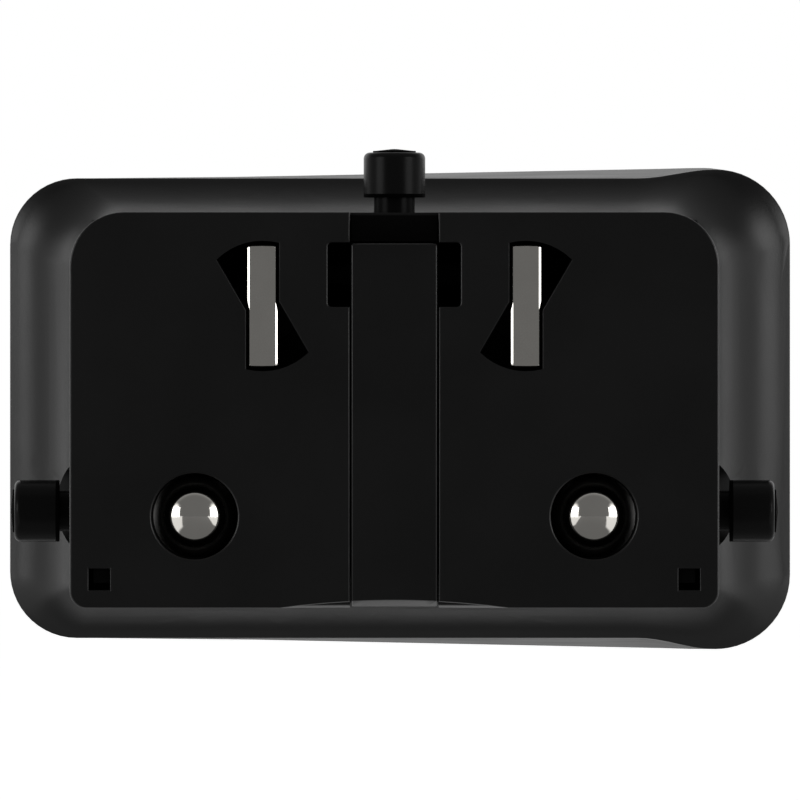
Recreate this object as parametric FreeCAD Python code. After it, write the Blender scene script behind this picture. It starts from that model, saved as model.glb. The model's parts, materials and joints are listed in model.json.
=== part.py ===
import FreeCAD, Part
import math
import os

V = FreeCAD.Vector

# Travel adapter for two-pole mains plugs. Millimetres.
# The origin is the middle of the plug face. X runs across the face, Y runs from the face into
# the adapter, and Z is up. Everything is drawn with all the pins stowed away. Names of sizes
# that come in pairs describe the right side, and the left side mirrors it.

# Plays between pieces, and lengths that only serve the drawing
slide_fit = 0.1
turn_fit = 0.05
bite = 0.5
over = 1.0
through = 60.0

# Round pins, 4 mm across and 19.1 mm apart
euro_x = 9.56
euro_r = 2.0
euro_tip_y = 0.1
euro_travel = 19.1
euro_bare = 9.0
euro_core_r = 1.5
euro_sleeve_r = 1.95
euro_hole_gap = 0.07
euro_hole_r = euro_r + euro_hole_gap

# Heights in the plug block, from its underside: round pins, then blades, then the top
pin_below = 4.389
line_gap = 10.062
blade_above = 4.499
block_half_h = (pin_below + line_gap + blade_above) / 2
euro_z = pin_below - block_half_h
blade_z = block_half_h - blade_above

# Plug block, the part that goes against the wall socket
pin_beside = 5.98
block_half_w = euro_x + pin_beside
block_r_top = 2.6
block_r_low = 0.8
block_len = 25.5
block_ear = 11.0
face_wall = 1.5
side_wall = 1.04
top_wall = 1.105
bore_half_w = block_half_w - side_wall
bore_half_h = block_half_h - top_wall
edge_soft = 0.1
pip_size = 1.0
pip_in = 0.923
pip_up = 0.865

# Flare from the block out to the rim, a quarter of an ellipse in section. Towards the right
# end the rim rises a little on both faces.
flare_len = 6.0
flare_steps = 7
flare_turn = 78.0
flare_left = 3.5
flare_right = 4.05
flare_top = 1.985
flare_low = 1.835
ear_top = 0.44
ear_low = 0.55
ear_start = 12.0
rim_r_left = 3.3
rim_r_right = 3.7
rim_y = block_len + flare_len
rim_left = block_half_w + flare_left
rim_right = block_half_w + flare_right
rim_top = block_half_h + flare_top
rim_low = block_half_h + flare_low

# Rear body and end cap
rear_len = 21.0
cap_t = 3.3
skirt_len = 1.7
ring_t = 0.5
groove = 0.25
narrow_left = 0.24
narrow_right = 0.29
swell_top_left = 0.14
swell_top_right = 0.29
swell_low_left = 0.13
swell_low_right = 0.23
body_wall = 2.3
lid_wall = 1.41
end_round = 1.9
crown_steps = 4
crown_turn = 84.6
total_len = rim_y + rear_len
body_end = total_len - cap_t
parting_y = rim_y + skirt_len
ring_y = rim_y + ring_t
rear_left = rim_left - narrow_left
rear_right = rim_right - narrow_right
body_in_x = rear_left - body_wall
body_in_z = rim_low - lid_wall

# Hollow grip with ribs on each side of the rear body
grip_r = 30.0
grip_depth = 1.25
grip_from_end = 11.1
grip_y = total_len - grip_from_end
rib_r = 0.42
rib_half_h = 5.5
rib_pitch = 2.0
rib_out = 0.85
rib_count = 5

# Carrier of the round pins. Its front ends its travel a slide fit behind the plug face.
euro_carrier_len = 4.7
euro_carrier_front = face_wall + slide_fit + euro_travel
euro_carrier_back = euro_carrier_front + euro_carrier_len
carrier_gap = 0.17
carrier_side_gap = 0.9
leg_w = 3.3
euro_bridge_len = 2.0
euro_bridge_t = 0.8
knob_boss_r = 1.7
knob_boss_gap = 0.15

# Flat blades, 12.7 mm apart, which twist outwards to suit slanted sockets
blade_x = 6.306
blade_t = 1.42
blade_w = 5.9
blade_tip_y = 0.1
blade_corner_r = 0.2
blade_bevel_in = 0.09
blade_bevel_back = 0.06
blade_travel = 16.8
blade_twist = 30.0
blade_slot_gap_t = 0.09
blade_slot_gap_w = 0.16
blade_slot_t = blade_t + blade_slot_gap_t
blade_slot_w = blade_w + blade_slot_gap_w
blade_root = face_wall + slide_fit + blade_travel
journal_r = 1.7
journal_len = 6.1
journal_back = blade_root + journal_len
flange_step = 0.6
flange_t = 0.75
flange_r = journal_r + flange_step

# Carrier of the blades
hub_reach = 3.094
hub_lap = 0.1
wing_back = 1.0
wing_side_gap = 0.5
lug_front = 1.5
lug_back = 0.8
lug_drop = 3.4
lug_room = 0.9
blade_bridge_back = 3.1
blade_bridge_gap = 0.5
hub_gap = 0.15

# Thumb scoop
scoop_rise = 0.38
scoop_chord = 11.24
scoop_reach = 2.3
scoop_lead = 3.0
scoop_run = 8.0

# Folding arm with the long plastic pin that opens shuttered sockets. Its hinge lies halfway
# between the pin stowed in the block and the same pin folded out above the round ones.
shutter_pin_w = 4.0
shutter_pin_h = 8.0
shutter_pin_len = 22.7
shutter_pin_up = 1.251
shutter_point = 1.6
shutter_point_in = 0.8
pin_line_gap = 22.23
arm_t = 3.0
arm_cheek = 0.115
arm_fit = 0.135
arm_foot_gap = 0.055
arm_floor = 1.1
arm_w = shutter_pin_w + arm_cheek
arm_slot_w = arm_w + arm_fit
arm_low = block_half_h - arm_foot_gap
shutter_pin_z = shutter_pin_h / 2 + shutter_pin_up - block_half_h
hinge_y = arm_t / 2
hinge_z = (shutter_pin_z + euro_z + pin_line_gap) / 2
arm_top = hinge_z + hinge_y

# Hinge of the arm, with the two hollows beside it for the fingertips
hinge_r = 0.6
hinge_half_len = 3.85
boss_wall = 0.1
boss_half_w = hinge_half_len + boss_wall
sweep_gap = 0.18
sweep_r = math.hypot(hinge_y, arm_t - hinge_y) + sweep_gap
wing_half_w = 3.17
wing_h = 3.05
wing_over = 0.04
wing_depth = 3.75
wing_corner_r = 0.18
wing_top = arm_top + wing_over
wing_low = wing_top - wing_h

# Pocket in the block for the stowed pin
pocket_wall = 0.8
pocket_roof_gap = 0.224
pocket_end_gap = 0.2
pocket_top = shutter_pin_z + shutter_pin_h / 2 + pocket_roof_gap
pocket_roof = pocket_top + pocket_wall
pocket_side = arm_slot_w / 2 + pocket_wall
pocket_end = arm_t + shutter_pin_len + pocket_end_gap
boss_y = hinge_y + sweep_r + pocket_wall

# Slide knobs
knob_r = 1.51
knob_t = 2.2
knob_edge = 0.3
knob_cap_r = 1.05
knob_cap_h = 0.08
knob_peak_h = 0.09
knob_peak_r = 0.12
knob_peak_step = 0.08
neck_r = 1.0
neck_fit = 0.04
neck_wall = 0.28
neck_slot_gap = 0.15
knob_solid = 1.5
neck_hollow_r = neck_r - neck_wall
neck_slot_r = neck_r + neck_slot_gap

# Places of the knobs and of the slots that they slide in
side_knob_gap = 0.9
side_knob_back = 2.1
side_knob_up = 0.126
side_slot_gap = 0.53
side_slot_up = 0.25
side_slot_run = 2.1
side_slot_out = 2.06
side_neck_in = 4.04
spring_room = 1.2
side_knob_x = block_half_w + side_knob_gap
side_knob_y = euro_carrier_front + side_knob_back
side_knob_z = euro_z + side_knob_up
side_neck_end = side_knob_x - side_neck_in
side_seat = side_neck_end - spring_room
side_slot_r = knob_r + side_slot_gap
side_slot_z = side_knob_z + side_slot_up
side_slot_back = block_len + side_slot_run
top_knob_gap = 0.945
top_knob_back = 4.6
top_neck_in = 4.82
top_spring_room = 1.0
top_knob_z = block_half_h + top_knob_gap
top_knob_y = blade_root + top_knob_back
top_neck_end = top_knob_z - top_neck_in
top_seat = top_neck_end - top_spring_room

# Return springs in the necks
spring_wire = 0.11
spring_gap = 0.22
spring_end_gap = 0.1
spring_turns = 6
spring_r = neck_hollow_r - spring_gap

# Guide frame inside the block
frame_fit = 0.08
frame_t = 0.67
tray_t = 0.59
tray_h = 7.1
tray_gap = 0.15
shelf_t = 0.8
shelf_gap = 0.205
ledge_t = 0.6
ledge_under = 2.17
ledge_w = 1.55
back_wall = 2.0
back_gap = 0.1
window_half_w = 9.0
window_half_h = 5.6
frame_out = bore_half_w - frame_fit
frame_in = frame_out - frame_t
frame_half_h = bore_half_h - frame_fit
frame_front = face_wall + slide_fit
frame_back = ring_y - back_gap
frame_wall = frame_back - back_wall
tray_floor = tray_t - frame_half_h
tray_top = tray_floor + tray_h
shelf_in = pocket_side + carrier_gap + leg_w + shelf_gap
ledge_top = bore_half_h - ledge_under
ledge_low = ledge_top - ledge_t
ledge_in = frame_in - ledge_w

# Brass strips that carry the current from the sliding pins to the sockets
strip_t = 0.4
strip_gap = 0.1
finger_t = 0.3
finger_gap = 0.05
rail_front = 3.0
rail_h = 2.4
rail_low_gap = 0.2
rail_high_h = 2.6
rail_high_gap = 0.4
euro_finger_in = 1.96
euro_finger_drop = 1.114
euro_finger_gap = 0.4
euro_leg_h = 1.9
euro_leg_back = 0.8
blade_finger_in = 0.706
blade_finger_h = 1.4
blade_finger_gap = 1.0
blade_leg_back = 2.8
strap_low = -2.0
strap_top = 4.0
strap_in = 3.9
strip_x = frame_in - strip_t
finger_x = strip_x - finger_gap
rail_low_top = tray_top - rail_low_gap
rail_low_end = rail_low_top - rail_h
rail_high_top = ledge_low - rail_high_gap
rail_high_end = rail_high_top - rail_high_h

# Sockets in the end cap: round holes 19 mm apart and openings for flat blades
socket_x = 9.5
socket_z = -4.9
socket_r = 2.5
socket_neck = 6.0
socket_neck_wall = 0.5
slot_x = 6.6
slot_z = 4.9
slot_w = 7.9
slot_t = 2.1
field_half_w = 13.6
field_half_h = 9.2
field_depth = 0.5
field_r = 2.4

# Clips behind the sockets
clip_gap = 1.0
clip_end = total_len - socket_neck - clip_gap
clip_close = 0.35
clip_half_w = 1.8
clip_margin = 0.1
clip_drop = 2.6
flat_clip_half_w = 1.6
flat_clip_half_h = 2.9
flat_clip_open = 1.25

# Screws through the end cap into the posts
post_r = 1.9
post_gap = 0.3
post_from_end = 8.5
screw_r = 1.0
screw_hole_gap = 0.1
screw_head_r = 1.75
screw_head_t = 1.3
screw_head_soft = 0.35
screw_head_in = 1.7
screw_len = 13.5
cross_half = 1.1
cross_half_t = 0.22
cross_floor = 0.7
screw_x = body_in_x - post_r
screw_z = body_in_z - post_r - post_gap
post_end = total_len - post_from_end
screw_head_y = total_len - screw_head_in

# Insulating holder round the clips
holder_gap = 0.3
holder_front_gap = 0.5
holder_side_gap = 0.1
holder_front = ring_y + holder_front_gap
holder_back = body_end - holder_gap
holder_half_w = screw_x - post_r - holder_side_gap
holder_half_h = body_in_z - holder_gap
round_room_in = 2.3
round_room_out = 2.4
round_room_half = 0.6
flat_room_in = 3.0
flat_room_out = 3.2
flat_room_low = 3.8
flat_room_top = 4.2
neck_room_gap = 0.1
neck_room_deep = 3.2
post_room_gap = 0.2
middle_half_w = 2.2
middle_half_h = 8.0
middle_floor = 1.5


def box(x0, x1, y0, y1, z0, z1):
    return Part.makeBox(x1 - x0, y1 - y0, z1 - z0, V(x0, y0, z0))


def rod_x(x0, x1, y, z, r):
    return Part.makeCylinder(r, x1 - x0, V(x0, y, z), V(1, 0, 0))


def rod_y(y0, y1, x, z, r):
    return Part.makeCylinder(r, y1 - y0, V(x, y0, z), V(0, 1, 0))


def rod_z(z0, z1, x, y, r):
    return Part.makeCylinder(r, z1 - z0, V(x, y, z0), V(0, 0, 1))


def mirrored(shape):
    return shape.mirror(V(0, 0, 0), V(1, 0, 0))


def both(shape):
    return shape.fuse(mirrored(shape))


def four_rods(y0, y1, x, z, r):
    return both(rod_y(y0, y1, x, z, r).fuse(rod_y(y0, y1, x, -z, r)))


def join(first, *rest):
    for other in rest:
        first = first.fuse(other)
    return first.removeSplitter()


def cut(first, *rest):
    for other in rest:
        first = first.cut(other)
    return first


def save(name, shape):
    shape.exportStep("parts/" + name + ".step")
    print(name, len(shape.Solids), "solid, volume", round(shape.Volume, 2), shape.isValid())


# Outline of the adapter across its depth: a rounded shape with ten edges. Half widths are
# left and right, corner radii rl and rr above and ql and qr below. The heights tl, tm, tr and
# bl, bm, br are those of the left end, of the point where the rise starts, and of the right end.

def outline(y, s):
    left, right, rl, rr, ql, qr = s["left"], s["right"], s["rl"], s["rr"], s["ql"], s["qr"]
    tl, tm, tr = s["tl"], s["tm"], s["tr"]
    bl, bm, br = s["bl"], s["bm"], s["br"]
    k = 1 - math.sqrt(0.5)

    def p(x, z):
        return V(x, y, z)

    def corner(a, m, b):
        return Part.Arc(p(*a), p(*m), p(*b)).toShape()

    def line(a, b):
        return Part.LineSegment(p(*a), p(*b)).toShape()

    def rise(a, b, way):
        curve = Part.BSplineCurve()
        curve.interpolate(Points=[p(*a), p(*b)], InitialTangent=V(way, 0, 0), FinalTangent=V(way, 0, 0))
        return curve.toShape()

    edges = [
        line((-left, -bl + ql), (-left, tl - rl)),
        corner((-left, tl - rl), (-left + rl * k, tl - rl * k), (-left + rl, tl)),
        line((-left + rl, tl), (s["ear"], tm)),
        rise((s["ear"], tm), (right - rr, tr), 1),
        corner((right - rr, tr), (right - rr * k, tr - rr * k), (right, tr - rr)),
        line((right, tr - rr), (right, -br + qr)),
        corner((right, -br + qr), (right - qr * k, -br + qr * k), (right - qr, -br)),
        rise((right - qr, -br), (s["ear"], -bm), -1),
        line((s["ear"], -bm), (-left + ql, -bl)),
        corner((-left + ql, -bl), (-left + ql * k, -bl + ql * k), (-left, -bl + ql)),
    ]
    return Part.Wire(edges)


def between(a, b, f):
    return {key: a[key] + (b[key] - a[key]) * f for key in a}


def shrunk(s, d):
    out = dict(s)
    for key in s:
        if key != "ear":
            out[key] = s[key] - d
    return out


block_line = dict(left=block_half_w, right=block_half_w, rl=block_r_top, rr=block_r_top,
                  ql=block_r_low, qr=block_r_low, tl=block_half_h, tm=block_half_h,
                  tr=block_half_h, bl=block_half_h, bm=block_half_h, br=block_half_h, ear=block_ear)
rim_line = dict(left=rim_left, right=rim_right, rl=rim_r_left, rr=rim_r_right,
                ql=rim_r_left, qr=rim_r_right, tl=rim_top, tm=rim_top,
                tr=rim_top + ear_top, bl=rim_low, bm=rim_low, br=rim_low + ear_low, ear=ear_start)
rear_flat = rear_left - rim_r_left + rear_right - rim_r_right
rise_share = (ear_start + rear_left - rim_r_left) / rear_flat
rear_ends = dict(tl=rim_top + swell_top_left, tr=rim_top + ear_top + swell_top_right,
                 bl=rim_low + swell_low_left, br=rim_low + ear_low + swell_low_right)
rear_line = dict(left=rear_left, right=rear_right, rl=rim_r_left, rr=rim_r_right,
                 ql=rim_r_left, qr=rim_r_right,
                 tm=rear_ends["tl"] + (rear_ends["tr"] - rear_ends["tl"]) * rise_share,
                 bm=rear_ends["bl"] + (rear_ends["br"] - rear_ends["bl"]) * rise_share,
                 ear=ear_start, **rear_ends)


def body_line(y):
    return between(rim_line, rear_line, (y - rim_y) / (body_end - rim_y))


def skin(sections, ruled):
    return Part.makeLoft([outline(y, s) for y, s in sections], True, ruled)


def edges_along_y(shape):
    return [e for e in shape.Edges if abs(e.tangentAt(e.FirstParameter).y) > 0.5]


# Shape of one twisting-blade opening: everywhere the blade reaches from upright to its full twist

def fan_reach(width, thick):
    return math.hypot(width / 2, thick / 2)


def fan(x, z, width, thick, y0, y1, lean):
    reach = fan_reach(width, thick)
    disc = rod_y(y0, y1, x, z, reach)
    upright = box(x - thick / 2, x + thick / 2, y0, y1, z - reach, z + reach)
    leaning = upright.copy()
    leaning.rotate(V(x, 0, z), V(0, 1, 0), lean)
    a = math.radians(lean)
    far = 2 * reach
    wedges = []
    for way in (1, -1):
        tip = V(x + way * far * math.sin(a), y0, z + way * far * math.cos(a))
        base = Part.makePolygon([V(x, y0, z), V(x, y0, z + way * far), tip, V(x, y0, z)])
        wedges.append(Part.Face(base).extrude(V(0, y1 - y0, 0)))
    return upright.fuse([leaning] + wedges).common(disc).removeSplitter()


# Plug block with its flare and the short skirt behind the rim, still solid

def make_front_form():
    block = Part.Face(outline(0, block_line)).extrude(V(0, block_len, 0))
    rings = []
    last = math.radians(flare_turn)
    for i in range(flare_steps + 1):
        turn = last * i / flare_steps
        y = block_len + flare_len * math.sin(turn) / math.sin(last)
        rings.append((y, between(block_line, rim_line, (1 - math.cos(turn)) / (1 - math.cos(last)))))
    flare = skin(rings, False)
    skirt = skin([(rim_y, body_line(rim_y)), (parting_y, body_line(parting_y))], True)
    return block.fuse([flare, skirt])


# Slots in the sides and in the top for the knobs

def make_knob_slots():
    front = side_knob_y - euro_travel
    x0 = bore_half_w - over
    low = side_slot_z - side_slot_r
    side = box(x0, rim_right, front, side_slot_back, low, low + 2 * side_slot_r)
    side = side.fuse(rod_x(x0, rim_right, front, side_slot_z, side_slot_r))
    side = side.fuse(rod_x(x0, block_half_w + side_slot_out, side_slot_back, side_slot_z, side_slot_r))
    front = top_knob_y - blade_travel
    z0 = bore_half_h - over
    top = box(-neck_slot_r, neck_slot_r, front, top_knob_y, z0, rim_top)
    top = top.fuse(rod_z(z0, rim_top, 0, front, neck_slot_r))
    return both(side).fuse(top.fuse(rod_z(z0, rim_top, 0, top_knob_y, neck_slot_r)))


def make_front_housing():
    hollow = box(-bore_half_w, bore_half_w, face_wall, ring_y, -bore_half_h, bore_half_h)
    wide = box(-body_in_x, body_in_x, ring_y, parting_y, -body_in_z, body_in_z)
    shell = cut(make_front_form(), hollow, wide)

    side = pocket_side
    walls = box(-side, side, face_wall, pocket_end + pocket_wall, -bore_half_h, pocket_roof)
    floor = box(-side, side, face_wall, arm_t + arm_floor, pocket_top, bore_half_h)
    boss = box(-boss_half_w, boss_half_w, face_wall, boss_y, wing_low - pocket_wall, bore_half_h)
    shell = join(shell, walls, floor, boss, four_rods(ring_y, post_end, screw_x, screw_z, post_r))

    w = arm_slot_w / 2
    low = -rim_low - ear_low - over
    channel = box(-w, w, -over, arm_t + slide_fit, -block_half_h - over, block_half_h + over)
    pocket = box(-w, w, arm_t, pocket_end, -bore_half_h, pocket_top)
    mouth = box(-w, w, arm_t, arm_t + shutter_pin_len, low, -bore_half_h)
    sweep = rod_x(-w, w, hinge_y, hinge_z, sweep_r)
    wings = box(-wing_half_w, wing_half_w, -over, wing_depth, wing_low, wing_top)
    wings = wings.makeFillet(wing_corner_r, edges_along_y(wings))
    hinge_hole = rod_x(-hinge_half_len, hinge_half_len, hinge_y, hinge_z, hinge_r)
    shell = cut(shell, channel, pocket, mouth, sweep, wings, hinge_hole)

    back = face_wall + over
    fans = both(fan(blade_x, blade_z, blade_slot_w, blade_slot_t, -over, back, blade_twist))
    euro_holes = both(rod_y(-over, back, euro_x, euro_z, euro_hole_r))
    pip_x = block_half_w - pip_in
    pip_z = pip_up - block_half_h
    pips = both(box(pip_x - pip_size, pip_x, -over, face_wall, pip_z, pip_z + pip_size))
    screw_holes = four_rods(screw_head_y - screw_len, post_end + over, screw_x, screw_z, screw_r)
    shell = cut(shell, fans, euro_holes, pips, make_knob_slots(), screw_holes, make_scoop())
    return softened(shell)


# Tiny rounding on the front edges. The curved ends of the blade openings stay sharp.

def softened(shape):
    reach = fan_reach(blade_slot_w, blade_slot_t)
    front = []
    for e in shape.Edges:
        sharp = isinstance(e.Curve, Part.Circle) and abs(e.Curve.Radius - reach) < 0.01
        if e.BoundBox.YMax < 1e-6 and not sharp:
            front.append(e)
    return shape.makeFillet(edge_soft, front)


# Shallow thumb scoop under the face, through the block and the arm alike. It is deepest at the
# face and runs out a little way behind it.

def make_scoop():
    r = (scoop_chord ** 2 / 4 + scoop_rise ** 2) / (2 * scoop_rise)
    lean = math.atan(scoop_rise / scoop_reach)
    way = V(0, math.cos(lean), -math.sin(lean))
    up = V(0, math.sin(lean), math.cos(lean))
    crest = V(0, 0, scoop_rise - block_half_h)
    return Part.makeCylinder(r, scoop_run, crest - way * scoop_lead - up * r, way)


# Sleeve of the rear body, with a hollow grip on each side

def make_rear_housing():
    start = parting_y + groove
    shell = skin([(start, body_line(start)), (body_end, body_line(body_end))], True)
    bore = box(-body_in_x, body_in_x, start - over, body_end + over, -body_in_z, body_in_z)
    grip_left = rod_z(-through, through, -rear_left - grip_r + grip_depth, grip_y, grip_r)
    grip_right = rod_z(-through, through, rear_right + grip_r - grip_depth, grip_y, grip_r)
    ribs = []
    for i in range(rib_count):
        y = grip_y + (i - (rib_count - 1) / 2) * rib_pitch
        ribs.append(both(rod_z(-rib_half_h, rib_half_h, body_in_x + rib_out, y, rib_r)))
    shell = cut(shell, bore, grip_left, grip_right)
    spigot = shrunk(body_line(start), bite)
    ring = cut(skin([(parting_y, spigot), (start, spigot)], True), bore)
    return join(shell, ring, *ribs)


# End cap with the openings for two-pole plugs

def make_end_cap():
    start = body_end + groove
    edge = total_len - end_round
    last = math.radians(crown_turn)
    rings = []
    for i in range(crown_steps + 1):
        turn = last * i / crown_steps
        y = edge + end_round * math.sin(turn) / math.sin(last)
        rings.append((y, shrunk(rear_line, end_round * (1 - math.cos(turn)))))
    lip = shrunk(rear_line, bite)
    body = join(skin([(start, rear_line), (edge, rear_line)], True), skin(rings, False),
                skin([(body_end, lip), (start, lip)], True))
    field = box(-field_half_w, field_half_w, total_len - field_depth, total_len + over,
                -field_half_h, field_half_h)
    field = field.makeFillet(field_r, edges_along_y(field))
    neck_front = total_len - socket_neck
    necks = both(rod_y(neck_front, start + bite, socket_x, socket_z, socket_r + socket_neck_wall))
    towers = four_rods(post_end + slide_fit, start + bite, screw_x, screw_z, post_r)
    body = join(body, necks, towers)
    end = total_len + over
    holes = both(rod_y(neck_front - over, end, socket_x, socket_z, socket_r))
    fans = both(fan(slot_x, slot_z, slot_w, slot_t, body_end - over, end, -blade_twist))
    seats = four_rods(screw_head_y, end, screw_x, screw_z, screw_head_r + screw_hole_gap)
    bores = four_rods(post_end - over, screw_head_y + over, screw_x, screw_z, screw_r + screw_hole_gap)
    return cut(body, field, holes, fans, seats, bores)


# Guide frame: a tray for each round pin, side plates, ledges for the blade carrier and a back wall

def make_guide_frame():
    low = frame_half_h
    plate = box(frame_in, frame_out, frame_front, frame_back, -low, low)
    tray = box(pocket_side + tray_gap, frame_out, frame_front, frame_back, -low, tray_floor)
    shelf = box(shelf_in, frame_out, frame_front, frame_back, tray_top, tray_top + shelf_t)
    ledge = box(ledge_in, frame_out, frame_front, frame_back, ledge_low, ledge_top)
    half = join(plate, tray, shelf, ledge)
    front = side_knob_y - euro_travel
    x0 = frame_in - over
    x1 = frame_out + over
    slot = box(x0, x1, front, side_knob_y, side_knob_z - neck_slot_r, side_knob_z + neck_slot_r)
    slot = slot.fuse(rod_x(x0, x1, front, side_knob_z, neck_slot_r))
    slot = slot.fuse(rod_x(x0, x1, side_knob_y, side_knob_z, neck_slot_r))
    half = cut(half, slot)
    back = box(-frame_out, frame_out, frame_wall, frame_back, -low, low)
    frame = join(both(half), back)
    rail_gap = box(strip_x - strip_gap, frame_in, frame_wall, frame_back + over, rail_low_end, rail_high_top)
    window = box(-window_half_w, window_half_w, frame_wall - over, frame_back + over,
                 -window_half_h, window_half_h)
    return cut(frame, both(rail_gap), window)


# Carrier that joins the two round pins, with a thin bridge over the arm's pocket

def make_euro_carrier():
    front = euro_carrier_front
    back = euro_carrier_back
    inner = pocket_side + carrier_gap
    side = frame_in - carrier_side_gap
    low = tray_floor + slide_fit
    bridge_low = pocket_roof + slide_fit
    bridge_top = bridge_low + euro_bridge_t
    block = box(inner + leg_w, side, front, back, low, tray_top - slide_fit)
    leg = box(inner, inner + leg_w, front, back, low, bridge_top)
    knob_boss = rod_x(side, frame_in - knob_boss_gap, side_knob_y, side_knob_z, knob_boss_r)
    bridge = box(-inner - over, inner + over, back - euro_bridge_len, back, bridge_low, bridge_top)
    body = join(both(join(block, leg, knob_boss)), bridge)
    pins = both(rod_y(0, through, euro_x, euro_z, euro_core_r))
    necks = both(rod_x(side_seat, through, side_knob_y, side_knob_z, neck_r + neck_fit))
    return cut(body, pins, necks)


# Round pin: bare tip with a dome, and a thinner shank that the sleeve and the carrier hold

def make_euro_pin():
    neck = euro_tip_y + euro_bare
    round_y = euro_tip_y + euro_r
    ball = Part.makeSphere(euro_r, V(euro_x, round_y, euro_z))
    dome = ball.common(box(0, through, -over, round_y, -through, through))
    bare = rod_y(round_y, neck, euro_x, euro_z, euro_r)
    shank = rod_y(neck, euro_carrier_back + turn_fit, euro_x, euro_z, euro_core_r)
    return join(dome, bare, shank)


def make_euro_sleeve():
    neck = euro_tip_y + euro_bare
    tube = rod_y(neck, euro_carrier_front, euro_x, euro_z, euro_sleeve_r)
    return tube.cut(rod_y(neck, euro_carrier_front, euro_x, euro_z, euro_core_r))


# Spring finger: a plate behind the pin or blade, with a leg that slides along the rail

def make_finger(plate_x, y, leg_y, plate_z, leg_z, top):
    plate = box(plate_x, finger_x, y, y + finger_t, plate_z, top)
    leg = box(finger_x - finger_t, finger_x, leg_y, y + finger_t, leg_z, top)
    return join(plate, leg)


def make_euro_finger():
    top = tray_top - euro_finger_gap
    return make_finger(euro_x - euro_finger_in, euro_carrier_back + turn_fit,
                       euro_carrier_front + euro_leg_back, euro_z - euro_finger_drop, top - euro_leg_h, top)


def make_blade_finger():
    top = ledge_low - blade_finger_gap
    low = top - blade_finger_h
    return make_finger(blade_x - blade_finger_in, journal_back + turn_fit + flange_t + turn_fit,
                       blade_root + blade_leg_back, low, low, top)


# Mushroom knob: head, low cap and a hollow neck. The neck points down the knob's own axis.

def make_knob(neck_len):
    head = Part.makeCylinder(knob_r, knob_t)
    crown = [e for e in head.Edges if len(e.Vertexes) == 1 and e.Vertexes[0].Z > knob_t / 2]
    head = head.makeFillet(knob_edge, crown)
    cap = Part.makeCylinder(knob_cap_r, knob_cap_h, V(0, 0, knob_t))
    peak = Part.makeCone(knob_cap_r - knob_peak_step, knob_peak_r, knob_peak_h,
                         V(0, 0, knob_t + knob_cap_h))
    neck = Part.makeCylinder(neck_r, neck_len, V(0, 0, -neck_len))
    hollow = Part.makeCylinder(neck_hollow_r, neck_len - knob_solid + over, V(0, 0, -neck_len - over))
    return cut(join(head, cap, peak, neck), hollow)


def on_side(shape, x):
    shape.rotate(V(0, 0, 0), V(0, 1, 0), 90)
    shape.translate(V(x, side_knob_y, side_knob_z))
    return shape


def on_top(shape, z):
    shape.translate(V(0, top_knob_y, z))
    return shape


# Return spring that sits in the knob's hollow neck

def make_coil(length):
    rise = length - 2 * spring_wire
    path = Part.makeHelix(rise / spring_turns, rise, spring_r)
    ring = Part.Wire(Part.makeCircle(spring_wire, V(spring_r, 0, 0), V(0, 1, 0)))
    coil = Part.Wire(path.Edges).makePipeShell([ring], True, False)
    coil.translate(V(0, 0, spring_wire))
    return coil


# Blade carrier: a hub for each blade, a bridge set back from the arm's boss, and side wings

def make_blade_carrier():
    top = bore_half_h - slide_fit
    low = pocket_roof + slide_fit + euro_bridge_t + hub_gap
    hub_out = blade_x + hub_reach
    wing_in = hub_out - hub_lap
    wing_low = ledge_top + slide_fit
    back = journal_back + lug_back
    hub = box(boss_half_w + slide_fit, hub_out, blade_root, journal_back, low, top)
    wing = box(wing_in, frame_in - wing_side_gap, blade_root + wing_back, journal_back, wing_low, top)
    lug = box(wing_in, frame_in - carrier_side_gap, journal_back - lug_front, back, wing_low - lug_drop, wing_low)
    lug = cut(lug, rod_y(journal_back, through, blade_x, blade_z, flange_r + lug_room),
              box(ledge_in - turn_fit, frame_in, 0, through, ledge_low - slide_fit, wing_low))
    half = join(hub, wing, lug)
    end = boss_half_w + slide_fit + turn_fit
    bridge_low = pocket_roof + slide_fit + euro_bridge_t + blade_bridge_gap
    bridge = box(-end, end, blade_root + blade_bridge_back, journal_back, bridge_low, top)
    body = join(both(half), bridge)
    bores = both(rod_y(0, through, blade_x, blade_z, journal_r + turn_fit))
    neck = rod_z(top_seat, through, 0, top_knob_y, neck_r + neck_fit)
    return cut(body, bores, neck)


# Blade: a flat bar with slightly round corners and a shallow ground bevel round its tip, on a
# journal that turns in the carrier

def blade_bar(y0, y1, inset):
    half_t = blade_t / 2 - inset
    half_w = blade_w / 2 - inset
    bar = box(blade_x - half_t, blade_x + half_t, y0, y1, blade_z - half_w, blade_z + half_w)
    return bar.makeFillet(blade_corner_r - inset, edges_along_y(bar))


def end_outline(bar, y):
    faces = [f for f in bar.Faces if f.BoundBox.YMax < y + 1e-6]
    return faces[0].OuterWire


def make_blade():
    root = blade_root - turn_fit
    shoulder = blade_tip_y + blade_bevel_back
    bar = blade_bar(shoulder, root, 0)
    tip = blade_bar(blade_tip_y, root, blade_bevel_in)
    bevel = Part.makeLoft([end_outline(tip, blade_tip_y), end_outline(bar, shoulder)], True, True)
    blade = join(bar, bevel)
    flange_y = journal_back + turn_fit
    journal = rod_y(root, flange_y, blade_x, blade_z, journal_r)
    flange = rod_y(flange_y, flange_y + flange_t, blade_x, blade_z, flange_r)
    return join(blade, journal, flange)


# Folding arm with its long square-cornered pin. Its front edges are rounded, but not the foot.

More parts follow.
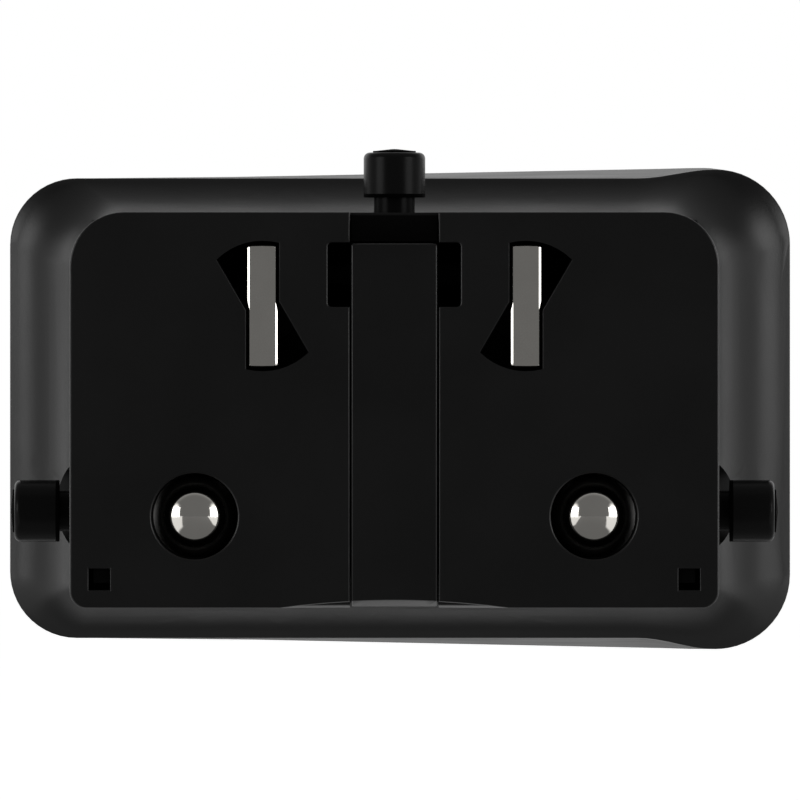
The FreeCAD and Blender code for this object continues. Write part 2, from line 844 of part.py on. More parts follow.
def make_arm():
    arm = box(-arm_w / 2, arm_w / 2, 0, arm_t, -arm_low, arm_top)
    soft = [e for e in arm.Edges if e.BoundBox.YMax < arm_t / 2 and e.BoundBox.ZMax > 0]
    arm = arm.makeFillet(edge_soft, soft)
    w = shutter_pin_w / 2
    h = shutter_pin_h / 2
    tip = arm_t + shutter_pin_len
    shank = box(-w, w, arm_t, tip - shutter_point, shutter_pin_z - h, shutter_pin_z + h)

    def loop(y, s):
        corners = [(-w + s, -h + s), (w - s, -h + s), (w - s, h - s), (-w + s, h - s), (-w + s, -h + s)]
        return Part.makePolygon([V(x, y, shutter_pin_z + z) for x, z in corners])

    point = Part.makeLoft([loop(tip - shutter_point, 0), loop(tip, shutter_point_in)], True, True)
    hole = rod_x(-arm_w, arm_w, hinge_y, hinge_z, hinge_r + turn_fit)
    return cut(join(arm, shank, point), hole, make_scoop())


def make_hinge_pin():
    return rod_x(-hinge_half_len, hinge_half_len, hinge_y, hinge_z, hinge_r)


# Rail: two tongues beside the sliding fingers, joined behind, with a tab on the socket strip

def make_rail():
    low = box(strip_x, frame_in, rail_front, ring_y, rail_low_end, rail_low_top)
    high = box(strip_x, frame_in, rail_front, ring_y, rail_high_end, rail_high_top)
    web = box(strip_x, frame_in, frame_wall, ring_y, rail_low_end, rail_high_top)
    tab = box(strip_x, frame_in, ring_y, ring_y + strip_t, strap_low, strap_top)
    return join(low, high, web, tab)


# Socket strip: one brass stamping with a clip for a round pin and a clip for a flat blade

def make_socket_contact():
    back = ring_y + strip_t
    half = clip_half_w + clip_margin
    strap = box(strap_in, strip_x, ring_y, back, strap_low, strap_top)
    low = box(socket_x - half, socket_x + half, ring_y, back, socket_z - clip_drop, 0)
    high = box(slot_x - flat_clip_half_w, slot_x + flat_clip_half_w, ring_y, back,
               0, slot_z + flat_clip_half_h + clip_margin)
    leaves = []
    for way in (-1, 1):
        z = socket_z + way * (socket_r - clip_close)
        leaves.append(box(socket_x - clip_half_w, socket_x + clip_half_w, ring_y, clip_end,
                          z - strip_t / 2, z + strip_t / 2))
        x = slot_x + way * flat_clip_open
        leaves.append(box(x - strip_t / 2, x + strip_t / 2, ring_y, clip_end,
                          slot_z - flat_clip_half_h, slot_z + flat_clip_half_h))
    return join(strap, low, high, *leaves)


def make_contact_holder():
    front = holder_front - over
    back = holder_back + over
    body = box(-holder_half_w, holder_half_w, holder_front, holder_back, -holder_half_h, holder_half_h)
    room = socket_r + round_room_half
    round_room = box(socket_x - round_room_in, socket_x + round_room_out, front, back,
                     socket_z - room, socket_z + room)
    flat_room = box(slot_x - flat_room_in, slot_x + flat_room_out, front, back,
                    slot_z - flat_room_low, slot_z + flat_room_top)
    neck_room = rod_y(holder_back - neck_room_deep, back, socket_x, socket_z,
                      socket_r + socket_neck_wall + neck_room_gap)
    corners = four_rods(front, back, screw_x, screw_z, post_r + post_room_gap)
    middle = box(-middle_half_w, middle_half_w, front, holder_back - middle_floor,
                 -middle_half_h, middle_half_h)
    return cut(body, both(join(round_room, flat_room, neck_room)), corners, middle)


# Four identical screws from the end cap into the posts, with a cross in the head

def make_screws():
    top = screw_head_y + screw_head_t
    screws = []
    for x in (-screw_x, screw_x):
        for z in (-screw_z, screw_z):
            head = rod_y(screw_head_y, top, x, z, screw_head_r)
            rim = [e for e in head.Edges if e.BoundBox.YMin > screw_head_y + screw_head_t / 2]
            head = head.makeFillet(screw_head_soft, rim)
            shank = rod_y(screw_head_y - screw_len, screw_head_y, x, z, screw_r)
            floor = screw_head_y + cross_floor
            bar = box(x - cross_half, x + cross_half, floor, top, z - cross_half_t, z + cross_half_t)
            upright = box(x - cross_half_t, x + cross_half_t, floor, top, z - cross_half, z + cross_half)
            screws.append(cut(join(head, shank), bar, upright))
    return Part.makeCompound(screws)


os.makedirs("parts", exist_ok=True)
save("front_housing", make_front_housing())
save("rear_housing", make_rear_housing())
save("end_cap", make_end_cap())
save("guide_frame", make_guide_frame())
save("contact_holder", make_contact_holder())
save("case_screws", make_screws())
save("euro_carrier", make_euro_carrier())
save("blade_carrier", make_blade_carrier())
save("folding_arm", make_arm())
save("arm_hinge_pin", make_hinge_pin())
save("top_knob", on_top(make_knob(top_neck_in), top_knob_z))
top_coil_len = top_knob_z - knob_solid - spring_end_gap - top_seat
save("top_knob_spring", on_top(make_coil(top_coil_len), top_seat))
side_coil_len = side_knob_x - knob_solid - spring_end_gap - side_seat
pairs = {
    "euro_pin": make_euro_pin(),
    "pin_sleeve": make_euro_sleeve(),
    "pin_finger": make_euro_finger(),
    "side_knob": on_side(make_knob(side_neck_in), side_knob_x),
    "side_knob_spring": on_side(make_coil(side_coil_len), side_seat),
    "blade": make_blade(),
    "blade_finger": make_blade_finger(),
    "current_rail": make_rail(),
    "socket_contact": make_socket_contact(),
}
for name, shape in pairs.items():
    save(name + "_right", shape)
    save(name + "_left", mirrored(shape))
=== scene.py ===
# %% [markdown]
# # A pocket travel adapter, dressed around its working model
#
# The real object is a small black plug adapter. Two round pins and two flat blades lie stowed
# in its front face, a folding arm runs down the middle, and three little knobs push the pins
# out. The construction model already holds every piece at its real size, so this script never
# moves anything. It adds what an engineer's model leaves out: the feel of each surface, the
# softened edges, the light and the camera.
#
# The model is loaded first. The size of the whole thing is kept straight away, so that it can
# be compared with the finished look at the very end.

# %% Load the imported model
import json
import math

import bmesh
import bpy
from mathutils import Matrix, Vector


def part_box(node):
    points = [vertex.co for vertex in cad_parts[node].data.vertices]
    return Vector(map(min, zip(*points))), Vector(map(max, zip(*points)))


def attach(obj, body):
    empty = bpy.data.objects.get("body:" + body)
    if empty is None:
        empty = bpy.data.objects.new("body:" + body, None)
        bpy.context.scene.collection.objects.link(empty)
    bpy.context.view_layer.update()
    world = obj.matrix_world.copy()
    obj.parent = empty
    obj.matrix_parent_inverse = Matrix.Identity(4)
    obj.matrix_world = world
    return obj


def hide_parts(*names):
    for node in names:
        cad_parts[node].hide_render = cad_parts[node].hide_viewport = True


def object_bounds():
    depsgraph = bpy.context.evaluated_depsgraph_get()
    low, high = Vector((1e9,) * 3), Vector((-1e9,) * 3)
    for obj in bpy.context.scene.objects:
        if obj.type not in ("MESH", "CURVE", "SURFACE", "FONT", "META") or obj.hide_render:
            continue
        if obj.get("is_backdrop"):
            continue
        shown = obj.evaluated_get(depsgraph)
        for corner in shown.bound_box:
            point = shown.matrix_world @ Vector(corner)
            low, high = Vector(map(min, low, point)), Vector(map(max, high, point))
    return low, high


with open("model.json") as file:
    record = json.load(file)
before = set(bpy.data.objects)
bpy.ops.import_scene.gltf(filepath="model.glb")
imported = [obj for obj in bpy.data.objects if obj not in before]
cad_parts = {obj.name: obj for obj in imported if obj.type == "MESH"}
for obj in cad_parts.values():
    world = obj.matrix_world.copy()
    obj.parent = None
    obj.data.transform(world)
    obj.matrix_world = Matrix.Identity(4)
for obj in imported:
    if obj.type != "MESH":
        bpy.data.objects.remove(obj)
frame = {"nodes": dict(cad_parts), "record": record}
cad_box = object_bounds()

MM = 0.001
scene = bpy.context.scene
nodes = frame["nodes"]
span = [round((b - a) / MM, 2) for a, b in zip(*cad_box)]
print("nodes:", len(nodes), "size in mm:", span)

# %% [markdown]
# ## The camera comes first
#
# The photograph looks straight at the plug face from far away: parallel edges stay almost
# parallel, and the rear body, 50 mm further back, shows only a sliver past the rim. A long lens
# at 0.9 m gives that look. The lens follows from how many millimetres of the face fill the
# picture, so one measured width sets it.

# %% Camera
SHOT_DISTANCE = 900 * MM
SHOT_WIDTH = 38.28 * MM
SHOT_CENTRE = Vector((0.273 * MM, 0, 0.478 * MM))

camera = bpy.data.objects.new("camera", bpy.data.cameras.new("camera"))
scene.collection.objects.link(camera)
camera.location = SHOT_CENTRE - Vector((0, SHOT_DISTANCE, 0))
camera.rotation_euler = (math.radians(90), 0, 0)
camera.data.lens = camera.data.sensor_width * SHOT_DISTANCE / SHOT_WIDTH
camera.data.clip_start = 10 * MM
camera.data.clip_end = 20
scene.camera = camera
scene.view_settings.view_transform = "Standard"
print("lens in mm:", round(camera.data.lens, 1))

# %% [markdown]
# ## Shader maths that reads like arithmetic
#
# A material is a graph of nodes, and wiring every Math node by hand hides the idea. Here a
# small class holds one output socket and gives it the usual operators, so a mask can be written
# as `1 - mask * 0.5`. A second class is the material being made. Its method `node` takes the
# node's type, then its settings, then what goes into its sockets, and the others build on it.

# %% Sockets with operators
class Wire:
    def __init__(self, finish, socket):
        self.finish = finish
        self.socket = socket

    def maths(self, operation, a, b=0.0):
        return self.finish.node("ShaderNodeMath", {"operation": operation}, {0: a, 1: b})

    def __add__(self, other):
        return self.maths("ADD", self, other)

    def __sub__(self, other):
        return self.maths("SUBTRACT", self, other)

    def __rsub__(self, other):
        return self.maths("SUBTRACT", other, self)

    def __mul__(self, other):
        return self.maths("MULTIPLY", self, other)

    def __abs__(self):
        return self.maths("ABSOLUTE", self)

    def least(self, other):
        return self.maths("MINIMUM", self, other)

    __radd__ = __add__
    __rmul__ = __mul__


# %% A material under construction
class Finish:
    def __init__(self, owner):
        owner.use_nodes = True
        self.owner = owner
        self.tree = owner.node_tree
        self.tree.nodes.clear()

    def node(self, kind, settings=None, sockets=None, out=0):
        made = self.tree.nodes.new(kind)
        for name, value in (settings or {}).items():
            setattr(made, name, value)
        for name, value in (sockets or {}).items():
            if isinstance(value, Wire):
                self.tree.links.new(value.socket, made.inputs[name])
            else:
                made.inputs[name].default_value = value
        return Wire(self, made.outputs[out]) if made.outputs else made

    def place(self):
        """Where a point lies on the object, in metres."""
        return self.node("ShaderNodeTexCoord", out="Object")

    def axis(self, letter):
        """One coordinate of that place, in millimetres."""
        return self.node("ShaderNodeSeparateXYZ", None, {0: self.place()}, out=letter) * (1 / MM)

    def stretched(self, x, y, z):
        """The place drawn out along the axes, for a grain with a direction."""
        return self.node("ShaderNodeMapping", None, {"Vector": self.place(), "Scale": (x, y, z)})

    def noise(self, size, detail=2.0, roughness=0.5, where=None):
        """Cloudy noise whose blotches are about that many millimetres across."""
        return self.node("ShaderNodeTexNoise", {"noise_dimensions": "3D"},
                         {"Vector": where or self.place(), "Scale": 1 / (size * MM),
                          "Detail": detail, "Roughness": roughness})

    def ramp(self, value, low, high, start=0.0, end=1.0):
        """From start, where value is low, smoothly to end, where it is high."""
        return self.node("ShaderNodeMapRange", {"interpolation_type": "SMOOTHSTEP"},
                         {"Value": value, "From Min": low, "From Max": high,
                          "To Min": start, "To Max": end})

    def blend(self, factor, a, b):
        """Between two colours, each a wire or four numbers."""
        return self.node("ShaderNodeMix", {"data_type": "RGBA"}, {0: factor, 6: a, 7: b}, out=2)

    def mix(self, factor, a, b):
        return self.blend(factor, (*a, 1), (*b, 1))

    def bump(self, height, depth, onto=None):
        """Raised and sunk by the height, where 1 stands for that many millimetres."""
        sockets = {"Strength": 1.0, "Distance": depth * MM, "Height": height}
        if onto:
            sockets["Normal"] = onto
        return self.node("ShaderNodeBump", None, sockets)

    def principled(self, **sockets):
        return self.node("ShaderNodeBsdfPrincipled", None,
                         {name.replace("_", " "): value for name, value in sockets.items()})

    def surface(self, shader):
        self.node("ShaderNodeOutputMaterial", None, {"Surface": shader})
        return self.owner


def grey(level, warm=0.0):
    """A nearly neutral colour, a touch warmer where warm is above 0."""
    return (level * (1 + warm), level, level * (1 - warm))


# %% [markdown]
# ## Black moulded plastic
#
# The housings are injection moulded in black, in a steel tool whose walls were eroded to a fine
# matt texture. Up close that is a field of tiny rounded pits, about a tenth of a millimetre
# across, and it is what makes the face look flat black while the flare takes soft highlights.
# Fingers polish it a little, so the roughness also drifts over centimetres. Noise at those two
# sizes, one driving a bump and one driving the roughness, is enough.

# %% [markdown]
# The openings in the plug face are the darkest places in the picture. Their walls get painted
# shade: a near-black, dead matt finish that stands in for the light lost inside them. The mask
# below is 1 inside the plug block from a hair behind its face, so the bright hairlines on the edges
# stay. The two fan-shaped openings get the painted shade right from the face: their edges were cut
# clean and show no hairline. The channel above the arm's head is shallow, so its painted shade is
# lighter and it keeps a little light.
#
# The knobs get painted shade too: the low cap on the head and a narrow band at its foot are painted
# near-black, and the neck gets half of that painted shade. Heights along a knob are measured back
# from its outer end.

# %% Where the openings get painted shade
def inside(finish, letter, limit):
    """1 within so many millimetres of the middle along an axis, 0 beyond."""
    return finish.ramp(abs(finish.axis(letter)), limit - 0.1, limit, 1.0, 0.0)


BLOCK_INNER = (15.0, 28.0, 9.41)
FAN_SPAN = (3.6, 10.5)
FAN_LOW = 1.4
CHANNEL = (2.1, 7.3, 0.2)


# The mask for the painted shade in the openings of the plug face: 1 where shade is painted.
def recess_shade_mask(finish):
    depth = finish.axis("Y")
    across, back, up = BLOCK_INNER
    block = inside(finish, "X", across) * inside(finish, "Z", up)
    block = block * finish.ramp(depth, back, back + 1, 1.0, 0.0)
    near, far = FAN_SPAN
    fans = (1 - inside(finish, "X", near)) * inside(finish, "X", far)
    fans = fans * finish.ramp(finish.axis("Z"), FAN_LOW, FAN_LOW + 0.1)
    behind_face = finish.ramp(depth, 0.1, 0.25)
    deep = block * (behind_face + fans * finish.ramp(depth, 0.0, 0.02)).least(1.0)
    across, low, light = CHANNEL
    channel = inside(finish, "X", across) * finish.ramp(finish.axis("Z"), low, low + 0.5)
    return deep * (1 - channel * light)


# %% Where the knobs get painted shade
KNOB_SIDE_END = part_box("side_knob_right")[1][0] / MM
KNOB_TOP_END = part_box("top_knob")[1][2] / MM
KNOB_TALL = 2.37
KNOB_CAP = 0.17
KNOB_FOOT_SHADE = 0.18


def one_knob_shade(finish, along, end):
    foot = end - KNOB_TALL
    # Painted shade: full on the cap and in a band at the foot, half strength on the neck.
    cap = finish.ramp(along, end - KNOB_CAP - 0.02, end - KNOB_CAP)
    below = finish.ramp(along, foot + KNOB_FOOT_SHADE - 0.03, foot + KNOB_FOOT_SHADE, 1.0, 0.0)
    neck = finish.ramp(along, foot - 0.02, foot, 1.0, 0.0)
    return cap + below * (1 - neck * 0.5)


def knob_shade_mask(finish):
    across = abs(finish.axis("X"))
    on_side = finish.ramp(across, 5, 6)
    top = one_knob_shade(finish, finish.axis("Z"), KNOB_TOP_END)
    return on_side * one_knob_shade(finish, across, KNOB_SIDE_END) + (1 - on_side) * top


print("knobs end at mm:", round(KNOB_SIDE_END, 2), round(KNOB_TOP_END, 2))


# %% Moulded black
def moulded_black(name, level, roughness, grain, depth, gloss, painted_shade=None):
    """A black plastic. The grain's size and its depth are in millimetres."""
    finish = Finish(bpy.data.materials.new(name))
    pits = finish.noise(grain, detail=3, roughness=0.6)
    cloud = finish.noise(6, detail=2)
    colour = finish.mix(finish.ramp(cloud, 0.35, 0.65), grey(level * 0.9), grey(level * 1.12))
    rough = finish.ramp(cloud, 0.3, 0.7, roughness - 0.03, roughness + 0.03) + (pits - 0.5) * 0.12
    skin = finish.principled(Base_Color=colour, Roughness=rough, Specular_IOR_Level=gloss,
                             Normal=finish.bump(pits, depth))
    # Painted shade: a near-black, barely glossy surface mixed over the skin wherever the mask is 1.
    if painted_shade:
        shade = finish.principled(Base_Color=(*grey(0.0006), 1), Roughness=0.8,
                                  Specular_IOR_Level=0.02)
        skin = finish.node("ShaderNodeMixShader", None, {0: painted_shade(finish), 1: skin, 2: shade})
    return finish.surface(skin)


case_black = moulded_black("case_black", level=0.0022, roughness=0.36,
                           grain=0.09, depth=0.004, gloss=0.3)
# The plug face's material paints shade inside its openings.
face_black_painted_shade = moulded_black("face_black_painted_shade", level=0.0022, roughness=0.33,
                           grain=0.09, depth=0.004, gloss=0.33, painted_shade=recess_shade_mask)
# The knobs' material paints shade on the cap, the foot and the neck of each knob.
knob_black = moulded_black("knob_black", level=0.0068, roughness=0.26,
                           grain=0.05, depth=0.002, gloss=0.06, painted_shade=knob_shade_mask)
# The hinge pin's material is near-black and dead matt: painted shade, so the pin vanishes in the
# dark wing pockets.
pin_painted_shade = moulded_black("pin_painted_shade", level=0.001, roughness=0.6,
                          grain=0.05, depth=0.002, gloss=0.02)
frame_grey = moulded_black("frame_grey", level=0.006, roughness=0.5,
                           grain=0.12, depth=0.006, gloss=0.2)
sleeve_black = moulded_black("sleeve_black", level=0.005, roughness=0.25,
                             grain=0.06, depth=0.002, gloss=0.5)
blacks = (case_black, face_black_painted_shade, knob_black, pin_painted_shade, frame_grey, sleeve_black)
print("plastics:", [m.name for m in blacks])

# %% [markdown]
# ## Nickel, brass and steel
#
# The plug pins are brass with a bright nickel coat, which is why they mirror the lamps as white
# arcs. Metal has no colour of its own apart from what it mirrors, so Metallic is 1 and the base
# colour is the tint of the mirror. Drawing and rubbing leave fine lines along the pins, so the
# noise is stretched along that axis.
#
# Two kinds of pin have something extra. On the round ones, the shoulder of the tip is rougher, as
# if rubbed by every plugging in, and darker, which is painted shade where the shoulder would
# otherwise mirror light coming in through the side slot. On the flat blades, further back than a
# given depth the metal is painted near-black and matt: painted shade for their deep end inside the
# fan openings. Both are masks on the depth along Y.

# %% Plated metal
def plated(name, colour, roughness, scratch, painted_shade_behind=None, worn_and_shaded_band=None):
    """A metal. Depths are in millimetres behind the plug face."""
    finish = Finish(bpy.data.materials.new(name))
    lines = finish.noise(0.08, detail=2, where=finish.stretched(1, 0.06, 1))
    cloud = finish.noise(1.5)
    tone = finish.mix(finish.ramp(cloud, 0.3, 0.7), [c * 0.96 for c in colour], colour)
    rough = finish.ramp(lines, 0.3, 0.7, roughness - 0.02, roughness + 0.03)
    metal = 1.0
    # On the round pins' tip shoulder the roughness rises as wear, and the tone is darkened as
    # painted shade.
    if worn_and_shaded_band:
        start, end = worn_and_shaded_band
        depth = finish.axis("Y")
        rubbed_and_shaded = finish.ramp(depth, start, start + 0.4)
        rubbed_and_shaded = rubbed_and_shaded * finish.ramp(depth, end - 0.8, end, 1.0, 0.0)
        tone = finish.blend(rubbed_and_shaded, tone, (*grey(0.05, 0.06), 1))
        rough = rough + rubbed_and_shaded * 0.6
    # Behind the given depth the blade is painted near-black and matt: painted shade for its deep
    # part inside the fan openings.
    if painted_shade_behind:
        metal = finish.ramp(finish.axis("Y"), painted_shade_behind - 0.02, painted_shade_behind, 1.0, 0.0)
        tone = finish.blend(metal, (*grey(0.003), 1), tone)
        rough = rough + (1 - metal) * 0.4
    return finish.surface(finish.principled(Base_Color=tone, Roughness=rough, Metallic=metal,
                                            Normal=finish.bump(lines, scratch)))


NICKEL_TINT = (0.66, 0.64, 0.6)
BRASS_TINT = (0.78, 0.58, 0.27)
STEEL_TINT = (0.5, 0.5, 0.51)
# Depth spans in millimetres where shade is painted on the pins and blades.
TIP_SHOULDER_SHADE = (0.6, 3.6)
BLADE_SHADE_FROM = 17.9

nickel = plated("nickel", NICKEL_TINT, 0.06, 0.0002, worn_and_shaded_band=TIP_SHOULDER_SHADE)
# The blades' metal carries painted shade at its deep end.
blade_nickel_painted_shade = plated("blade_nickel_painted_shade", NICKEL_TINT, 0.06, 0.0002, painted_shade_behind=BLADE_SHADE_FROM)
brass = plated("brass", BRASS_TINT, 0.22, 0.001)
steel = plated("steel", STEEL_TINT, 0.3, 0.001)
print("metals:", [m.name for m in (nickel, blade_nickel_painted_shade, brass, steel)])

# %% [markdown]
# ## Dressing the model
#
# The record that comes with the model names a material slot for every piece, so one loop dresses
# them all. Three kinds of piece then get their own variant, each with painted shade: the blades,
# dark and matt at their deep end, the front housing, dark inside its openings, and the arm's hinge
# pin, near-black and dead matt.

# %% Give every node its finish
finishes = {"case_black": case_black, "knob_black": knob_black, "frame_grey": frame_grey,
            "sleeve_black": sleeve_black, "nickel": nickel, "brass": brass, "steel": steel}
for part in frame["record"]["subparts"]:
    mesh = nodes[part["node"]].data
    mesh.materials.clear()
    mesh.materials.append(finishes[part["material_slot"]])
for node in ("blade_left", "blade_right"):
    nodes[node].data.materials[0] = blade_nickel_painted_shade
nodes["front_housing"].data.materials[0] = face_black_painted_shade
# The hinge pin gets the near-black painted shade.
nodes["arm_hinge_pin"].data.materials[0] = pin_painted_shade

# %% [markdown]
# ## Edges are never perfectly sharp
#
# A mould can't make a knife edge, and handling rounds it further. On the real adapter every edge
# of the plug face carries a hairline of light, because its tiny radius faces the lamps at the
# sides. The construction model has those radii on the plug face but not elsewhere. So each piece
# with hard edges in view is copied, its loose triangles are merged back into whole faces, and the
# edges that turn by more than a set angle are bevelled by a few hundredths of a millimetre. The
# copy rides on the same moving body and takes the place of the original.
#
# Smooth shading alone would smear those small radii over the large flats beside them. The
# Weighted Normal modifier lets the largest face at each corner decide, so flats stay flat.

# %% Copy a piece and stand in for it
MERGE = 0.002 * MM
FLAT = math.radians(0.6)
CREASE = math.radians(38)
bodies = {node: body for body, members in frame["record"]["behaviour"]["bodies"].items()
          for node in members}


def merged_copy(name):
    """The node's mesh with its triangles joined and its flat areas made whole faces."""
    form = bmesh.new()
    form.from_mesh(nodes[name].data)
    bmesh.ops.remove_doubles(form, verts=form.verts, dist=MERGE)
    bmesh.ops.dissolve_limit(form, angle_limit=FLAT, verts=form.verts, edges=form.edges)
    return form


def turning(edge):
    return edge.calc_face_angle(0.0) if edge.is_manifold else 0.0


def settle(form, name, node):
    """Make the form an object that stands in for the node, with tidy shading."""
    for face in form.faces:
        face.smooth = True
    for edge in form.edges:
        edge.smooth = turning(edge) < CREASE
    mesh = bpy.data.meshes.new(name)
    form.to_mesh(mesh)
    form.free()
    piece = bpy.data.objects.new(name, mesh)
    scene.collection.objects.link(piece)
    mesh.materials.append(nodes[node].data.materials[0])
    shading = piece.modifiers.new("shading", "WEIGHTED_NORMAL")
    shading.keep_sharp = True
    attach(piece, bodies[node])
    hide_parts(node)
    return piece


# %% Round the edges
RIM_SOFT = 0.06
EDGE_SOFT = 0.07
SHARP = math.radians(35)


def softened(node, width, low=-1.0, high=60.0, segments=2):
    """The node with its sharp edges rounded, where they lie between low and high mm in depth."""
    form = merged_copy(node)
    sharp = [edge for edge in form.edges if turning(edge) > SHARP
             and all(low * MM < corner.co.y < high * MM for corner in edge.verts)]
    bmesh.ops.bevel(form, geom=sharp, offset=width * MM, offset_type="OFFSET", segments=segments,
                    profile=0.5, affect="EDGES", clamp_overlap=False, material=-1)
    bmesh.ops.remove_doubles(form, verts=form.verts, dist=MERGE)
    print(node, "edges softened:", len(sharp), "faces:", len(form.faces))
    return settle(form, node + "_soft", node)


softened("front_housing", RIM_SOFT, low=31)
for node in ("folding_arm", "rear_housing", "end_cap"):
    softened(node, EDGE_SOFT)

# %% [markdown]
# ## A pale sheet underneath
#
# The photograph was cut out onto plain white, so the set is white wherever the camera looks. The
# floor is a wide sheet a little below the adapter. It is an ordinary matt white, which keeps the
# soft shadow, plus a glow that only camera and glass rays see, which lifts it to white.
#
# What the black plastic mirrors matters more than what the camera sees directly. The flare under
# the adapter looks nearly black in the photograph, so the sheet close by is dark in reflections,
# but for a faint painted glow in a strip under the front half. Behind the adapter a lighter painted
# glow is added, and out to the sides, towards the lamps, a white painted glow. These glows are
# painted light that only reflections show. The white starts further out the further a place lies in
# front or behind, so it keeps clear of what the flare's corners mirror. Depths are in millimetres.

# %% Floor
FLOOR_DROP = 12 * MM
FLOOR_HALF = 3
PAPER_GLOW = 0.7

form = bmesh.new()
bmesh.ops.create_grid(form, x_segments=8, y_segments=8, size=FLOOR_HALF)
bmesh.ops.translate(form, verts=form.verts, vec=(0, 0, cad_box[0].z - FLOOR_DROP))
floor_mesh = bpy.data.meshes.new("floor")
form.to_mesh(floor_mesh)
form.free()
floor = bpy.data.objects.new("floor", floor_mesh)
scene.collection.objects.link(floor)
floor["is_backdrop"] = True
print("floor height in mm:", round((cad_box[0].z - FLOOR_DROP) / MM, 2))


# %% Paper
PAPER_WHITE = 0.8
PAPER_DARK = 0.04
PLAIN_GLOW = 0.18
BACK_GLOW = 0.45
STRIP_GLOW = 0.3
IN_FRONT = 0.82
STRIP_STARTS = (-5, 8)
STRIP_ENDS = (28, 36)
BACK_STARTS = (32, 50)
FRONT_ENDS = (-10, 5)
SIDES_START = (18, 24)
SIDES_SPREAD = 0.7


def ray_kinds(finish):
    """1 for rays straight from the camera, mirrored ones, and ones through glass."""
    return [finish.node("ShaderNodeLightPath", out=f"Is {kind} Ray")
            for kind in ("Camera", "Glossy", "Transmission")]


paper = Finish(bpy.data.materials.new("paper"))
seen, mirrored, through = ray_kinds(paper)
depth = paper.axis("Y")
# Painted glow for mirrored rays only: a faint strip under the front half, more behind, white out to
# the sides.
strip = paper.ramp(depth, *STRIP_STARTS) * paper.ramp(depth, *STRIP_ENDS, STRIP_GLOW, 0.0)
plain = paper.ramp(depth, *BACK_STARTS, PLAIN_GLOW, BACK_GLOW)
near = plain * paper.ramp(depth, *FRONT_ENDS, IN_FRONT, 1.0) + strip
aside = abs(paper.axis("X")) - abs(depth) * SIDES_SPREAD + paper.ramp(depth, -30, -10, 9, 0)
sides = paper.ramp(aside, *SIDES_START)
glow = (seen + through) * PAPER_GLOW + mirrored * (near + sides * (1 - near))
sheet = paper.mix(mirrored, grey(PAPER_WHITE), grey(PAPER_DARK))
paper.surface(paper.principled(Base_Color=sheet, Roughness=0.9, Emission_Strength=1.0,
                               Emission_Color=paper.mix(glow, grey(0), grey(1))))
floor_mesh.materials.append(paper.owner)
print("paper nodes:", len(paper.tree.nodes))

# %% [markdown]
# ## The studio around it
#
# The reflections in the photograph tell what stood around the adapter. The round pin tips show
# grey in the middle and a white arc left and right: a dim room in front, and tall bright walls
# at the sides. The left and right flares mirror those walls from front to back. They are bright
# at the rim, dimmer halfway and brightest at the block, and so the walls are too. Top and bottom
# stay dark, except near the block, where they look almost straight back at the white backdrop.
# The faint line along the arm's top edge tells of a room a little lighter above than in front.
#
# So the world has three faces. Camera rays find white. Mirrored rays find the room just
# described, drawn from the direction of the ray: its X picks out the walls, its Y tells front
# from back, and its Z ends the walls above and below. All other rays, the ones that carry light
# to matt surfaces, find an even grey.

# %% World
BRIGHTEST = 2
FRONT_GREY = 0.18
WALL_WHITE = 1.05
OVERHEAD = 0.17
WALL_DIP = 0.42
CORNER_DIP = 0.6
BACKDROP = 0.8
BACK_DIP = 0.6
SIDE_BACK = 0.65
SIDE_FRONT = 0.8
EVEN_GREY = 0.35

world = bpy.data.worlds.new("studio")
scene.world = world
air = Finish(world)


def heading(letter):
    """One component of the direction a ray leaves in, from -1 to 1."""
    ahead = air.node("ShaderNodeTexCoord", out="Generated")
    return air.node("ShaderNodeSeparateXYZ", None, {0: ahead}, out=letter)


sideways = abs(heading("X"))
back = heading("Y")
steep = abs(heading("Z"))

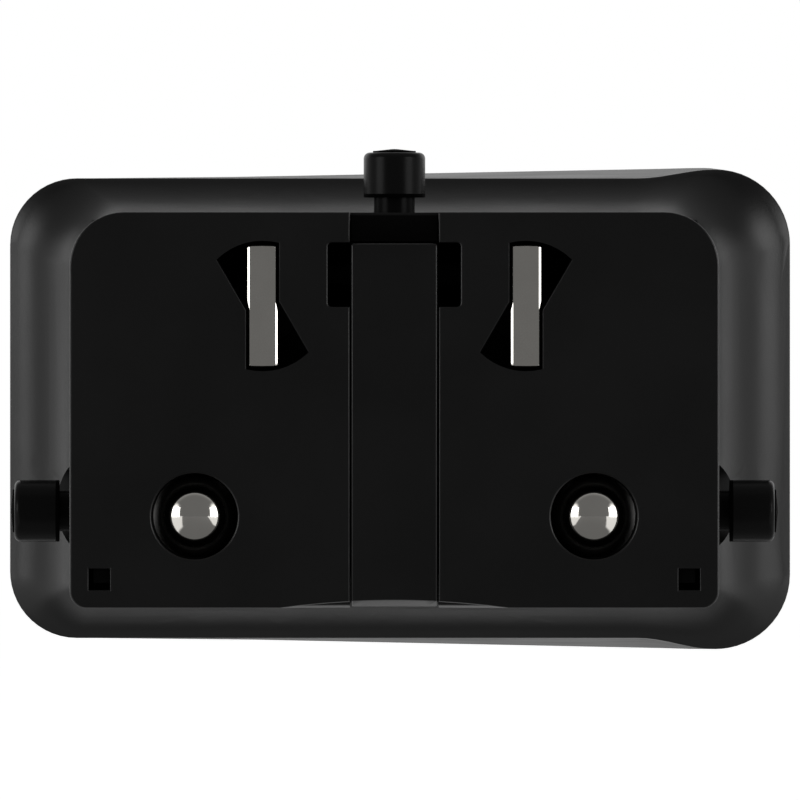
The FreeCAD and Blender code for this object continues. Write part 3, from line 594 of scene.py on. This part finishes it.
level_band = air.ramp(steep, 0.4, 0.6, 1.0, 0.0)
walls = air.ramp(sideways + back * 0.2, 0.48, 0.68) * level_band
dip = air.ramp(back, -0.5, -0.15) * air.ramp(back, 0.05, 0.55, 1.0, 0.0)
corner = air.ramp(steep, 0.2, 0.45) * air.ramp(back, -0.5, -0.2)
walls = walls * (1 - dip * WALL_DIP) * (1 - corner * CORNER_DIP)
ahead = walls * air.ramp(back, -0.55, -0.2, 1.0, 0.0)
behind = air.ramp(sideways, 0.35, 0.6) * air.ramp(back, 0.2, 0.6) * level_band
above = (1 - level_band) * air.ramp(back, -0.55, -0.35)
backdrop = air.ramp(back, 0.65, 0.87, 0.0, BACKDROP) * air.ramp(back, 0.93, 0.99, 1.0, BACK_DIP)
room = air.ramp(walls + backdrop, 0.0, 1.0, FRONT_GREY, WALL_WHITE)
room = room + above * OVERHEAD + behind * SIDE_BACK + ahead * SIDE_FRONT
seen, mirrored, through = ray_kinds(air)
shown = mirrored + through
level = seen + (1 - seen) * (room * shown + EVEN_GREY * (1 - shown))
light = air.node("ShaderNodeBackground", None,
                 {"Color": air.mix(level * (1 / BRIGHTEST), grey(0), grey(BRIGHTEST)),
                  "Strength": 1.0})
air.node("ShaderNodeOutputWorld", None, {"Surface": light})
print("world nodes:", len(air.tree.nodes))

# %% [markdown]
# ## Two softboxes
#
# Two tall softboxes stand left and right, 58 degrees off the camera's axis. From there their
# mirror image lands on the sides of every round form, on the pin tips and on the rounded edges,
# while the flat face sends them past the camera and stays black. They are drawn by light alone:
# the camera doesn't see the lamps themselves.

# %% Lamps
BOX_FAR = 0.6
BOX_TURN = math.radians(58)
BOX_SIZE = (0.3, 0.5)
BOX_POWER = 1.3


def softbox(name, place):
    light = bpy.data.lights.new(name, "AREA")
    light.shape = "RECTANGLE"
    light.size, light.size_y = BOX_SIZE
    light.energy = BOX_POWER
    lamp = bpy.data.objects.new(name, light)
    scene.collection.objects.link(lamp)
    lamp.location = place
    lamp.rotation_euler = (-Vector(place)).to_track_quat("-Z", "Y").to_euler()
    lamp.visible_camera = False
    return lamp


for side, sign in (("left", -1), ("right", 1)):
    place = (sign * BOX_FAR * math.sin(BOX_TURN), -BOX_FAR * math.cos(BOX_TURN), 0.0)
    lamp = softbox("softbox_" + side, place)
    print(lamp.name, "at", [round(c, 2) for c in lamp.location])

# %% [markdown]
# ## Last look at the size
#
# Rounding edges only takes material away, so the dressed adapter should fill the same box as the
# construction model.

# %% Compare and finish
look_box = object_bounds()
drift = max(abs(a - b) for one, two in zip(cad_box, look_box) for a, b in zip(one, two))
print("largest drift in mm:", round(drift / MM, 4))
